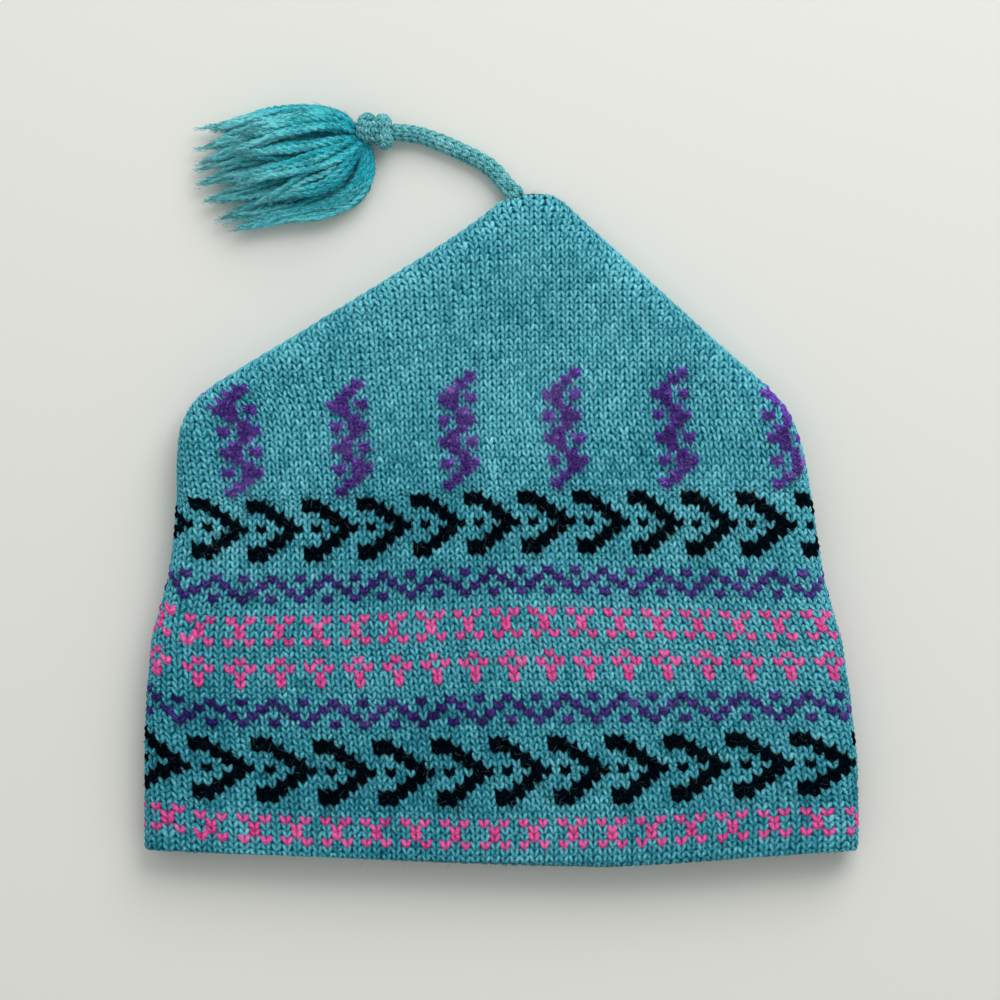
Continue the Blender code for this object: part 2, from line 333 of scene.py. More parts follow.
def wool(
    name, deep, middle, light, fibre_depth, sheen, clouds=0.22, streaks=0.9, hem_shade_painted=True, gloss=0.12
):
    """Heathered wool: the yarn's tone, cloudy dye, fine pale fibres and a twisted fibre relief, with painted
    light and shade in bands along the twist and, on the hat's body, painted shade towards the hem.
    """
    material, tree, shader = finish_named(name, WOOL_ROUGHNESS, gloss)
    shader.inputs["Sheen Weight"].default_value = sheen
    shader.inputs["Sheen Roughness"].default_value = WOOL_SHEEN_ROUGHNESS
    place = tree.nodes.new("ShaderNodeTexCoord").outputs["Object"]
    yarn = tree.nodes.new("ShaderNodeAttribute")
    yarn.attribute_name = "tone"
    tone = yarn.outputs["Fac"]
    strand = tree.nodes.new("ShaderNodeUVMap")
    strand.uv_map = "strand"
    run = strand.outputs["UV"]
    dye = pattern(tree, "TexNoise", place, Scale=DYE_SCALE, Detail=3.0)
    fibre = pattern(tree, "TexNoise", place, Scale=FIBRE_SCALE, Detail=3.0)
    drawn = pattern(tree, "Mapping", run, Rotation=(0, 0, STREAK_TURN), Scale=STREAK_STRETCH)
    streak = pattern(tree, "TexNoise", drawn.outputs["Vector"], Scale=1.0, Detail=2.0)
    streak.noise_dimensions = "4D"
    tree.links.new(worked(tree, "MULTIPLY", tone, STRAND_APART), streak.inputs["W"])
    turned = pattern(tree, "Mapping", run, Rotation=(0, 0, TWIST_TURN), Scale=TWIST_STRETCH)
    twist = pattern(
        tree, "TexWave", turned.outputs["Vector"], Scale=TWIST_SCALE, Distortion=1.5, Detail=2.0
    )
    # The tone takes cloudy dye, pale fibres and streaks along the yarn, and painted light and shade in bands
    # that follow the plies' twist.
    shade = tone
    for texture, shows in ((dye, clouds * 2), (fibre, FIBRE_SHOWS), (twist, TWIST_PAINTED_SHADE), (streak, streaks)):
        even = worked(tree, "SUBTRACT", texture.outputs["Fac"], 0.5)
        shade = worked(tree, "ADD", shade, worked(tree, "MULTIPLY", even, shows))
    # Painted shade: the colour darkens towards the hem and lightens towards the point, as the light falls off
    # down the hat.
    if hem_shade_painted:
        split = tree.nodes.new("ShaderNodeSeparateXYZ")
        tree.links.new(place, split.inputs[0])
        shade = worked(tree, "ADD", shade, worked(tree, "MULTIPLY", split.outputs["Y"], PAINTED_HEM_SHADE))
    coloured(tree, shader, shade, ((DEEP_TONE, deep), (MIDDLE_TONE, middle), (LIGHT_TONE, light)))
    fuzzy = worked(tree, "MULTIPLY", fibre.outputs["Fac"], FIBRE_IN_RELIEF)
    height = worked(tree, "ADD", twist.outputs["Fac"], fuzzy)
    raised(tree, shader, height, FIBRE_RELIEF, fibre_depth)
    return material


def tube_frame(points):
    """The run along a line, with its directions, level sideways vectors and upward vectors."""
    run = run_lengths(points)
    ahead = unit(np.gradient(points, run, axis=0))
    sideways = unit(np.cross(ahead, (0.0, 0.0, 1.0)))
    return run, ahead, sideways, unit(np.cross(sideways, ahead))


teal_cord_wool = wool(
    "teal_cord_wool", (0.002, 0.110, 0.148, 1), (0.054, 0.318, 0.360, 1), (0.290, 0.690, 0.690, 1),
    0.00025, 0.10, clouds=0.15, hem_shade_painted=False,
)
cord_line = smooth_rows(CORD_ROUTE, 60)
cord_run, cord_ahead, cord_side, cord_up = tube_frame(cord_line)
cord_length = cord_run[-1]
cord_core = CORD_DIAMETER / 2 - CORD_YARN_RISE


def on_cord(wale, row):
    """A point of the cord's core and the way out of it, row by row from the hat."""
    run = row * CORD_ROW
    turn = 2 * pi * wale / CORD_WALES
    line, side, up = (
        np.stack([np.interp(run, cord_run, way[:, k]) for k in range(3)], axis=-1)
        for way in (cord_line, cord_side, cord_up)
    )
    before, beyond = np.minimum(run, 0)[..., None], np.maximum(run - cord_length, 0)[..., None]
    line = line + before * cord_ahead[0] + beyond * cord_ahead[-1]
    out = side * np.sin(turn)[..., None] + up * np.cos(turn)[..., None]
    return line + out * cord_core, out


def every_stitch(wales, rows):
    """Each of so many wales with each of the rows."""
    return (grid.ravel() for grid in np.meshgrid(np.arange(wales) + 0.0, rows + 0.0))


def joined(name, pieces):
    """The pieces joined into the first of them, under a new name."""
    bpy.ops.object.select_all(action="DESELECT")
    for piece in pieces:
        piece.select_set(True)
    bpy.context.view_layer.objects.active = pieces[0]
    bpy.ops.object.join()
    pieces[0].name = name
    return pieces[0]


rng = np.random.default_rng(11)
cord_rows = np.arange(-1, int(cord_length / CORD_ROW) + 2) + 0.3
cord_stitches = stitches(
    "cord_stitches", *every_stitch(CORD_WALES, cord_rows), on_cord, CORD_LEG_FACES,
    CORD_YARN_RISE, CORD_PLUMP, teal_cord_wool, rng,
)
core_patch, core_faces = grid_patch(*CORE_FACES)
core_row = (core_patch[:, 1] * (cord_length + 2 * CORD_ENDS) - CORD_ENDS) / CORD_ROW
core_points, core_out = on_cord(core_patch[:, 0] * CORD_WALES / 2, core_row)
from_end = np.minimum(core_patch[:, 1], 1 - core_patch[:, 1])[:, None] / CORE_ROUNDED
core_points -= core_out * cord_core * (1 - np.sqrt(np.clip(from_end, 0, 1)))
core = joined_piece(
    "cord_core", core_points[None], core_faces, core_patch, CORE_SHADE_TONE, teal_cord_wool, merge=SEAM
)
tassel_cord = joined("tassel_cord_knit", [cord_stitches, core])
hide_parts("tassel_cord")


# The cord ends in a knot that is pulled tight round itself, so thick turns of the same knitting
# stand side by side over a round core, with the tassel's yarn tied in under them.
KNOT_TURN = 0.0138
KNOT_SQUEEZE = 0.86
CLEARANCE = 0.0003
Turn = namedtuple("Turn", "along across turn lean twist pinch")
TURNS = [
    Turn(0.290, 0.00, 1.00, 6.0, 1.2, 0.24),
    Turn(0.760, -0.10, 0.86, -14.0, 1.1, 0.0),
    Turn(0.520, -0.03, 0.76, 24.0, 0.5, 0.0),
]
KNOT_WALES = 7
TURN_SWELL = 1.20
PINCH_REACH = 0.35
HIDDEN_BELOW = -0.45
BALL_SINK = 0.9
knot_strand = KNOT_SQUEEZE * CORD_DIAMETER / 2


def knot_place(turn):
    end = CORD_ROUTE[-1]
    x = end.x - turn.along * KNOT_TURN
    y = end.y - turn.across * KNOT_TURN
    return Vector((x, y, KNOT_TURN / 2 + CLEARANCE))


def on_turn(turn):
    """The surface of one turn of the knot, its wales round the cord and its rows round the turn."""
    centre = np.array(knot_place(turn))
    lean = radians(turn.lean)
    axis = np.array((-cos(lean), -sin(lean), 0.0))
    level = np.array((sin(lean), -cos(lean), 0.0))
    strand = knot_strand * TURN_SWELL
    ring = KNOT_TURN * turn.turn / 2 - strand
    rows_round = round(2 * pi * (ring + strand) / CORD_ROW)

    def place(wale, row):
        around = 2 * pi * row / rows_round
        over = 2 * pi * (wale + turn.twist * np.sin(around)) / KNOT_WALES
        out = level * np.cos(around)[..., None] + np.array((0, 0, 1.0)) * np.sin(around)[..., None]
        away = out * np.cos(over)[..., None] + axis * np.sin(over)[..., None]
        pull = 1 - turn.pinch * np.exp(-(((np.mod(around, 2 * pi) - pi / 2) / PINCH_REACH) ** 2))
        points = centre + out * ring + away * (strand - CORD_YARN_RISE)
        return centre + (points - centre) * pull[..., None], away

    return place, rows_round


knot_pieces = []
for index, turn in enumerate(TURNS):
    place, rows_round = on_turn(turn)
    wale_grid, row_grid = every_stitch(KNOT_WALES, np.arange(rows_round))
    outer = np.cos(2 * pi * wale_grid / KNOT_WALES) > HIDDEN_BELOW
    knot_pieces.append(
        stitches(
            f"knot_turn_{index}", wale_grid[outer], row_grid[outer], place, CORD_LEG_FACES,
            CORD_YARN_RISE, CORD_PLUMP, teal_cord_wool, rng,
        )
    )
    core_points, _ = place(core_patch[:, 0] * KNOT_WALES / 2, core_patch[:, 1] * rows_round)
    knot_pieces.append(
        joined_piece(
            f"knot_core_{index}", core_points[None], core_faces, core_patch, CORE_SHADE_TONE,
            teal_cord_wool, merge=SEAM,
        )
    )
bm = bmesh.new()
bmesh.ops.create_icosphere(bm, subdivisions=3, radius=KNOT_TURN / 2 - BALL_SINK * knot_strand)
bmesh.ops.translate(bm, verts=bm.verts, vec=(knot_place(TURNS[0]) + knot_place(TURNS[1])) / 2)
ball_mesh = bpy.data.meshes.new("knot_ball")
bm.to_mesh(ball_mesh)
bm.free()
for layer in ("OFBake", "strand"):
    ball_mesh.uv_layers.new(name=layer)
knot_pieces.append(shown("knot_ball", ball_mesh, teal_cord_wool))
knot = joined("tassel_knot", knot_pieces)
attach(knot, "root")
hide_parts("cord_knot")


# The tassel is a bundle of soft two-ply yarn, tied under the knot, cut and brushed. Its strands
# are twisted near the head, fall into locks, and come apart into thin wisps at their tips.
TASSEL_LENGTH = 0.0631
TASSEL_WIDTH = 0.0500
TASSEL_HEIGHT = 0.0210
LOCK_GIRTH = 0.0108
HEAD_GIRTH = 0.0120
HEAD_SINK = 0.30
Lock = namedtuple(
    "Lock", "shoulder_along shoulder_across belly_along belly_across tip_along tip_across rise girth"
)
LOCKS = [
    Lock(0.115, -0.116, 0.374, -0.145, 0.851, -0.022, 0.26, 0.96),
    Lock(0.144, -0.065, 0.431, -0.043, 0.903, 0.101, 0.26, 1.00),
    Lock(0.155, 0.029, 0.460, 0.087, 0.891, 0.232, 0.26, 1.00),
    Lock(0.144, 0.116, 0.431, 0.210, 0.862, 0.348, 0.26, 1.00),
    Lock(0.098, 0.203, 0.374, 0.333, 0.845, 0.486, 0.26, 1.00),
    Lock(0.034, 0.261, 0.270, 0.442, 0.780, 0.620, 0.26, 1.00),
    Lock(-0.020, 0.275, 0.126, 0.500, 0.690, 0.690, 0.26, 0.98),
    Lock(0.115, -0.087, 0.316, -0.072, 0.672, 0.007, 0.66, 0.90),
    Lock(0.126, 0.000, 0.345, 0.065, 0.701, 0.152, 0.71, 1.00),
    Lock(0.103, 0.116, 0.276, 0.217, 0.655, 0.348, 0.71, 1.00),
    Lock(0.046, 0.188, 0.172, 0.362, 0.517, 0.514, 0.66, 0.96),
]
LOCK_GIRTHS = [0.62, 0.90, 1.00, 0.96, 0.74, 0.44]
LOCK_LIFTS = [0.0, 0.55, 1.0, 0.70]
STRANDS = 150
LOWER_SHARE = 0.62
PLY_SIDES, PLY_RINGS = 6, 44
PLY_RADIUS = 0.00097
PLY_OFFSET = 0.00039
TWIST_PITCH = 0.0060
TASSEL_DEEP = (0.0005, 0.210, 0.300, 1)
TASSEL_TEAL = (0.012, 0.440, 0.520, 1)
TASSEL_LIGHT = (0.190, 0.680, 0.720, 1)

last_turn = knot_place(TURNS[1])
head_radius = HEAD_GIRTH / 2
head = Vector((
    last_turn.x - knot_strand - head_radius + HEAD_SINK * KNOT_TURN,
    last_turn.y - HEAD_SINK * KNOT_TURN / 2,
    head_radius + CLEARANCE,
))


def lock_line(lock, count):
    ways = [
        (0.0, 0.0),
        (lock.shoulder_along, lock.shoulder_across),
        (lock.belly_along, lock.belly_across),
        (lock.tip_along, lock.tip_across),
    ]
    stops = []
    for (along, across), lift in zip(ways, LOCK_LIFTS):
        level = (1 - lift) * head.z + lift * lock.rise * TASSEL_HEIGHT
        stops.append((head.x - along * TASSEL_LENGTH, head.y - across * TASSEL_WIDTH, level))
    return smooth_rows(stops, count)


# How the strands lie in their locks: how far they spill past the outer locks, how little they
# scatter at the tips, how full a lock is, and how the strands turn, wave and differ in length
LOCK_SPILL, TIP_SCATTER = 0.30, 0.15
LOCK_FILL, LOCK_DRIFT = (0.15, 0.88), 0.6
TIPS_FROM, TIPS_DRAWN_IN = 0.6, 0.70
WAVE_HEIGHT, WAVE_LENGTHS = 0.0006, (0.016, 0.030)
CUT_LENGTHS, PLY_ENDS = (0.90, 1.09), (0.93, 1.0)
PLY_TAPERS, PLY_THICKNESSES = (0.20, 0.42), (0.85, 1.15)
FLOOR_GAP = 0.0001
START_DRIFT = np.array((0.0026, -0.0026, 0.0))
LOWER_COUNT = 7
LOWER_LOCKS, UPPER_LOCKS = LOCKS[:LOWER_COUNT], LOCKS[LOWER_COUNT:]
ply_patch, ply_faces = grid_patch(PLY_SIDES, PLY_RINGS)
ply_around = (ply_patch[:, 0] + 1) * pi
ply_along = ply_patch[:, 1]
ply_ring = np.round(ply_along * PLY_RINGS).astype(int)
plies = []
strand_lines = []
rng = np.random.default_rng(5)
for number in range(STRANDS):
    locks = LOWER_LOCKS if number < LOWER_SHARE * STRANDS else UPPER_LOCKS
    spot = rng.uniform(-LOCK_SPILL, len(locks) - 1 + LOCK_SPILL)
    gathered = round(spot) + TIP_SCATTER * (spot - round(spot))
    columns = np.array(locks).T
    here = [np.interp(spot, range(len(locks)), column) for column in columns]
    there = [np.interp(gathered, range(len(locks)), column) for column in columns]
    lock = Lock(*here[:4], *there[4:6], *here[6:])
    line = lock_line(lock, PLY_RINGS + 1)
    run, ahead, side, up = tube_frame(line)
    share = run / run[-1]
    girths = np.interp(np.linspace(0, 5, PLY_RINGS + 1), range(6), LOCK_GIRTHS) * lock.girth * LOCK_GIRTH / 2
    turns = rng.uniform(0, 2 * pi) + rng.uniform(-LOCK_DRIFT, LOCK_DRIFT) * share
    reach = rng.uniform(*LOCK_FILL) ** 0.5 * np.maximum(girths - 0.5 * PLY_RADIUS, 0.0)
    reach = reach * (1 - TIPS_DRAWN_IN * np.clip((share - TIPS_FROM) / (1 - TIPS_FROM), 0, 1))
    strand = line + side * (reach * np.sin(turns))[:, None] + up * (reach * np.cos(turns))[:, None]
    wave = WAVE_HEIGHT * np.sin(2 * pi * (run / rng.uniform(*WAVE_LENGTHS) + rng.uniform())) * share
    strand = strand + side * wave[:, None]
    strand = strand[0] + (strand - strand[0]) * (1 + (rng.uniform(*CUT_LENGTHS) - 1) * share[:, None] ** 2)
    lower = spot / (len(locks) - 1)
    strand = strand + START_DRIFT * (lower * (1 - share[:, None]) ** 3)
    strand[:, 2] = np.maximum(strand[:, 2], PLY_OFFSET + PLY_RADIUS)
    strand_lines.append(strand)
    run, ahead, side, up = tube_frame(strand)
    start = rng.uniform(0, 2 * pi)
    ends_at = rng.uniform(*PLY_ENDS)
    for ply in (0, pi):
        phase = 2 * pi * run / TWIST_PITCH + start + ply
        apart = PLY_OFFSET * (1 + 0.5 * np.sin(pi * share) * rng.uniform(0, 1))
        middle = strand + apart[:, None] * (side * np.sin(phase)[:, None] + up * np.cos(phase)[:, None])
        taper = np.clip((ends_at - share) / rng.uniform(*PLY_TAPERS), 0, 1) ** 0.7
        thick = PLY_RADIUS * rng.uniform(*PLY_THICKNESSES) * taper * np.minimum(1, 0.5 + share * 5)
        thick = thick * (share > 0)
        ring = side[ply_ring] * np.sin(ply_around)[:, None] + up[ply_ring] * np.cos(ply_around)[:, None]
        tube = middle[ply_ring] + ring * thick[ply_ring][:, None]
        tube[:, 2] = np.maximum(tube[:, 2], FLOOR_GAP)
        plies.append(tube)
SHADED_TO, LIT_TIPS_FROM = 0.50, 0.66


def tassel_painted_light(share, shaded, pale):
    """Painted light and shade along the tassel: painted shade at its head, and painted light at its thin
    tips, where light shines through them.
    """
    at_tips = np.clip((share - LIT_TIPS_FROM) / (1 - LIT_TIPS_FROM), 0, 1)
    return pale * at_tips - shaded * np.clip(1 - share / SHADED_TO, 0, 1)


# Each strand's tone differs at random; each ply is painted lighter on its upper side and darker below, as the
# light falls from above.
ply_tone = np.repeat(rng.normal(0.50, 0.10, STRANDS), 2)[:, None] + 0.08 * np.cos(ply_around)[None]
ply_tone = ply_tone + tassel_painted_light(ply_along, 0.50, 0.55)[None]
tassel_wool = wool(
    "tassel_wool", TASSEL_DEEP, TASSEL_TEAL, TASSEL_LIGHT, 0.0003, 0.14,
    clouds=0.35, streaks=0.5, hem_shade_painted=False,
)
tassel = joined_piece(
    "tassel_strands", np.array(plies), ply_faces, ply_patch, ply_tone, tassel_wool, merge=SEAM
)
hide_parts("tassel")


HAIR_FACES = (3, 3)
HAIR_BEND_FLAT = 0.9
HAIR_FLOOR_GAP = 0.00005


def fibres(name, roots, ways, normals, lengths, thickness, finish, rng, curl=0.5, tone=0.7, spread=0.12):
    """Loose fibres that stand out of the yarn: thin three-sided hairs, each bent one way."""
    patch, faces = grid_patch(*HAIR_FACES)
    around = (patch[:, 0] + 1) * pi
    t = patch[:, 1][None, :, None]
    ways, normals = unit(ways), unit(normals)
    bend = rng.normal(0, 1, (len(roots), 3))
    bend = unit(bend - HAIR_BEND_FLAT * normals * (bend * normals).sum(axis=1, keepdims=True))
    lengths = lengths[:, None, None]
    line = roots[:, None] + lengths * (ways[:, None] * t + bend[:, None] * curl * t**2 * 0.5)
    side = unit(np.cross(ways, normals + 0.01))
    top = unit(np.cross(side, ways))
    ring = side[:, None] * np.sin(around)[None, :, None] + top[:, None] * np.cos(around)[None, :, None]
    hair = line + ring * thickness * np.sin(pi * t) ** 0.5
    hair[..., 2] = np.maximum(hair[..., 2], HAIR_FLOOR_GAP)
    tones = tone + rng.normal(0, spread, (len(roots), 1))
    return joined_piece(name, hair, faces, patch, tones, finish, merge=SEAM)


HAIRS = 14000
HAIR_OUT = 0.0011
HAIR_LIFTS = (-0.08, 0.24)
HAIR_LENGTHS = (0.0022, 0.0056)
HAIR_THICKNESS = 0.00012
strand_lines = np.array(strand_lines)
which = rng.integers(0, len(strand_lines), HAIRS)
where = np.clip((PLY_RINGS * 0.96 * rng.beta(1.2, 0.9, HAIRS)).astype(int), 2, PLY_RINGS - 1)
hair_root = strand_lines[which, where]
hair_ahead = unit(hair_root - strand_lines[which, where - 2])
out = unit(rng.normal(0, 1, (HAIRS, 3)))
out[:, 2] = np.abs(out[:, 2])
hair_way = unit(hair_ahead + out * rng.uniform(*HAIR_LIFTS, (HAIRS, 1)))
hair_along = where / PLY_RINGS
hair_length = rng.uniform(*HAIR_LENGTHS, HAIRS) * (0.5 + 0.35 * hair_along)
hair_length = hair_length * np.minimum(1, (1.15 - hair_along) / 0.45)
# The hairs carry the same painted shade at the head and painted light at the tips as the strands.
tassel_fuzz = fibres(
    "tassel_fuzz", hair_root + out * HAIR_OUT, hair_way, out, hair_length, HAIR_THICKNESS, tassel_wool, rng,
    curl=0.9, tone=0.60 + tassel_painted_light(hair_along, 0.45, 0.45)[:, None], spread=0.14,
)


# The hat's body is knitted in the round in stockinette, 144 wales of teal wool with bands of
# other yarns. It lies flat as two layers that turn into each other at the side folds. This is its
# shape, with the rows and the wales that its stitches follow.
KNIT_LOW, KNIT_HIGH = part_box("knit_body")
HEM_WIDTH = KNIT_HIGH.x - KNIT_LOW.x
LYING_THICKNESS = KNIT_HIGH.z - KNIT_LOW.z
HEM_BOW = 0.0052
BACK_DROP = 0.0020
HEM_ROUND = 0.0008
BODY_LENGTH = KNIT_HIGH.y - KNIT_LOW.y - HEM_BOW - BACK_DROP - HEM_ROUND
WALL = 0.0028
FOLD_DEPTH = 0.012
CROWNING = 0.22
BOW_DEEPEST = 0.29
BOW_CURVE = 1.3
BOW_FADES_AT = 0.40
MOST_FOLD = 0.48
THINNEST, NARROWEST = 0.0003, 0.001
POINT_CLOSING = 1.2
corner_y = KNIT_LOW.y + HEM_BOW + BACK_DROP + HEM_ROUND
Section = namedtuple("Section", "height left right thickness")
SECTIONS = [
    Section(0.000, 0.500, 0.500, 0.78),
    Section(0.090, 0.500, 0.500, 0.88),
    Section(0.180, 0.499, 0.494, 0.95),
    Section(0.318, 0.490, 0.476, 1.00),
    Section(0.409, 0.467, 0.452, 1.00),
    Section(0.530, 0.455, 0.435, 1.00),
    Section(0.614, 0.454, 0.421, 0.98),
    Section(0.664, 0.441, 0.403, 0.95),
    Section(0.705, 0.405, 0.371, 0.91),
    Section(0.788, 0.281, 0.286, 0.84),
    Section(0.891, 0.129, 0.184, 0.73),
    Section(0.947, 0.051, 0.127, 0.62),
    Section(0.980, 0.012, 0.096, 0.50),
    Section(0.994, -0.005, 0.080, 0.36),
    Section(1.000, -0.020, 0.066, 0.17),
]
RINGS_PER_SECTION = 2
sections = smooth_rows(SECTIONS, (len(SECTIONS) - 1) * RINGS_PER_SECTION + 1)


def layer_shape(height, inset, front):
    """The section's edges, fold, half thickness and arc lengths of one layer at a height."""
    left, right, thickness = (np.interp(height, sections[:, 0], sections[:, k]) for k in (1, 2, 3))
    left, right = inset - left * HEM_WIDTH, right * HEM_WIDTH - inset
    middle = thickness * LYING_THICKNESS / 2
    half = np.maximum(middle - inset, THINNEST)
    width = np.maximum(right - left, NARROWEST)
    fold = np.minimum(np.maximum(FOLD_DEPTH - inset, WALL), MOST_FOLD * width)
    crown = half * (1 - CROWNING * (1 - fold / width) ** 2) if front else half
    turn = pi / 4 * (3 * (fold + crown) - np.sqrt((3 * fold + crown) * (fold + 3 * crown)))
    return left, right, middle, half, width, fold, turn, 2 * turn + width - 2 * fold


def hem_bow(across, height):
    side = across - BOW_DEEPEST
    reach = np.where(side > 0, 1 - BOW_DEEPEST, 1 + BOW_DEEPEST)
    faded = np.maximum(0.0, 1 - height / BOW_FADES_AT) ** 2
    return (1 - np.minimum(np.abs(side) / reach, 1.0) ** BOW_CURVE) * faded


def body_point(turn, level, inset):
    """A point of the body: turn from 0 to 1 over the front layer and on to 2 over the back one."""
    turn = np.mod(turn, 2.0)
    height = np.clip(level / BODY_LENGTH, 0, 1)
    result = np.zeros(np.broadcast(turn, level, inset).shape + (3,))
    for front in (True, False):
        left, right, middle, half, width, fold, quarter, length = layer_shape(height, inset, front)
        run = (turn if front else turn - 1) * length
        rising = run < quarter
        falling = run > length - quarter
        angle = pi / 2 * np.clip(np.where(rising, run, length - run) / quarter, 0, 1)
        bent = fold * (1 - np.cos(angle))
        distance = np.where(rising, bent, np.where(falling, width - bent, fold + run - quarter))
        opened = np.where(rising | falling, np.sin(angle), 1.0)
        across = 2 * distance / width - 1
        if front:
            x = left + distance
            z = middle + opened * half * (1 - CROWNING * across**2)
            bow = HEM_BOW * hem_bow(across, height)
        else:
            x = right - distance
            z = middle - opened * half
            bow = (HEM_BOW + BACK_DROP) * hem_bow(-across, height)
        y = corner_y + height * (BODY_LENGTH - POINT_CLOSING * inset) - bow
        here = (turn < 1) if front else (turn >= 1)
        result = np.where(here[..., None], np.stack(np.broadcast_arrays(x, y, z), axis=-1), result)
    return result


# Where the rows lie: the height above the hem's corners of some rows, counted from the hem
RowLevel = namedtuple("RowLevel", "row level")
ROW_LEVELS = [
    RowLevel(-12, -0.0330), RowLevel(0, -0.0027), RowLevel(3, 0.0047), RowLevel(6, 0.0121),
    RowLevel(9, 0.0192), RowLevel(17, 0.0398), RowLevel(20, 0.0465), RowLevel(23, 0.0544),
    RowLevel(26, 0.0612), RowLevel(29, 0.0698), RowLevel(32, 0.0766), RowLevel(35, 0.0846),
    RowLevel(38, 0.0922), RowLevel(41, 0.0997), RowLevel(44, 0.1073), RowLevel(52, 0.1279),
    RowLevel(54, 0.1314), RowLevel(69, 0.1708), RowLevel(98, 0.2418), RowLevel(104, 0.2565),
]
# How much the rows rise or fall across the front layer, by its share from the left fold
LIFT_SHARES = (
    0, 0.03, 0.055, 0.08, 0.11, 0.15, 0.20, 0.26, 0.32, 0.38, 0.44, 0.50, 0.56, 0.62, 0.68, 0.74, 0.80,
    0.86, 0.91, 0.96, 1.0,
)
SHOULDER_LIFT = (
    -5.0, -4.8, -4.7, -4.5, -4.2, -4.0, -3.3, -2.8, -2.1, -1.0, -0.1, 0.3, 1.0, 1.2, 1.4, 1.8, 1.7, 1.7,
    1.7, 1.8, 1.0,
)
RowLift = namedtuple("RowLift", "row millimetres")
ROW_LIFTS = [
    RowLift(4.5, (2.8, 2.7, 2.5, 0.4, -0.4, -0.7, -0.9, -1.0, -0.6, -0.5, -0.7, -0.3, 0.3, 0.7, 0.8, 1.0, 1.3,
                  1.8, 1.8, 1.0, 0.7)),
    RowLift(13, (2.7, 2.5, 1.1, -0.1, -0.4, -0.3, -0.5, -1.1, -1.3, -0.9, -0.6, -0.0, 0.3, 0.9, 1.1, 1.2, 1.5,
                 1.6, 1.4, 0.7, 0.6)),
    RowLift(21.8, (3.2, 2.7, -0.3, -1.1, -1.4, -1.3, -1.2, -1.5, -1.3, -0.9, -0.0, 0.6, 1.0, 1.3, 1.3, 1.3,
                   1.4, 1.0, 0.9, 0.7, 0.6)),
    RowLift(27.2, (2.9, 2.5, -0.8, -1.8, -2.1, -2.3, -1.8, -1.6, -1.5, -0.7, 0.4, 1.0, 1.1, 1.1, 1.2, 1.2,
                   0.9, 0.7, 0.7, 0.3, -0.3)),
    RowLift(30.3, (2.4, 1.7, -0.8, -2.0, -2.7, -2.4, -2.3, -2.2, -1.6, -1.0, 0.1, 0.6, 1.1, 1.1, 1.0, 0.7,
                   0.4, -0.2, -0.2, 0.1, 0.0)),
    RowLift(35, (2.4, 1.8, -1.3, -1.8, -2.4, -2.4, -2.1, -2.1, -1.4, -0.6, 0.1, 0.9, 1.3, 1.3, 0.6, 0.3, 0.0,
                 -0.3, -0.3, -0.2, -0.4)),
    RowLift(48, (1.0, 0.2, -1.0, -2.0, -2.4, -2.4, -2.3, -2.1, -1.4, -0.5, 0.0, 0.4, 0.6, 0.7, 0.3, 0.1, -0.2,
                 -0.2, -0.5, -0.8, -1.1)),
    RowLift(62.5, SHOULDER_LIFT), RowLift(70, SHOULDER_LIFT), RowLift(98, (0,) * len(LIFT_SHARES)),
]
# Where the wales run: the front layer's share at which each of these wales lies, counted from a
# column of crosses. They spread towards the hem, as the hat does.
WALE_STOPS = (-30, -24, -18, -12, -6, 0, 6, 12, 18, 24, 30, 36, 42)
WaleLine = namedtuple("WaleLine", "row shares")
WALE_LINES = [
    WaleLine(4.5, (0.0153, 0.1017, 0.1911, 0.2743, 0.3553, 0.4370, 0.5183, 0.5990, 0.6791, 0.7609, 0.8455,
                   0.9344, 1.0208)),
    WaleLine(13, (0.0114, 0.0977, 0.1848, 0.2688, 0.3501, 0.4297, 0.5095, 0.5889, 0.6686, 0.7497, 0.8359,
                  0.9247, 1.0112)),
    WaleLine(21.8, (-0.0008, 0.0877, 0.1753, 0.2600, 0.3412, 0.4225, 0.5010, 0.5807, 0.6598, 0.7413,
                    0.8260, 0.9139, 1.0014)),
    WaleLine(27.2, (-0.0028, 0.0839, 0.1711, 0.2534, 0.3349, 0.4157, 0.4958, 0.5748, 0.6547, 0.7368,
                    0.8220, 0.9085, 0.9941)),
    WaleLine(35, (-0.0130, 0.0769, 0.1639, 0.2454, 0.3250, 0.4052, 0.4857, 0.5670, 0.6472, 0.7295, 0.8144,
                  0.9005, 0.9885)),
    WaleLine(48, (-0.0176, 0.0664, 0.1479, 0.2310, 0.3132, 0.3954, 0.4759, 0.5583, 0.6423, 0.7239, 0.8040,
                  0.8867, 0.9761)),
    WaleLine(62.5, (-0.0485, 0.0402, 0.1358, 0.2206, 0.3048, 0.3893, 0.4722, 0.5541, 0.6380, 0.7278,
                    0.8136, 0.9020, 0.9879)),
]
WALES_ROUND = 144
FIRST_STOP, LAST_STOP, STOP_REACH = -30, 42, 12
CROWN_WALE = 0.00319
CROWN_FRONT = (8.0, -0.0060)
CROWN_BACK = (80.4, -0.0032)
CROWN_FROM, CROWN_BY = 62.5, 98.0
YARN_RISE = 0.00095
NEARBY = 0.05
row_levels = np.array(ROW_LEVELS)
row_lifts = np.array([(line.row, *(lift / 1000 for lift in line.millimetres)) for line in ROW_LIFTS])
wale_lines = np.array([(line.row, *line.shares) for line in WALE_LINES])


def level_of(row):
    return np.interp(row, row_levels[:, 0], row_levels[:, 1])


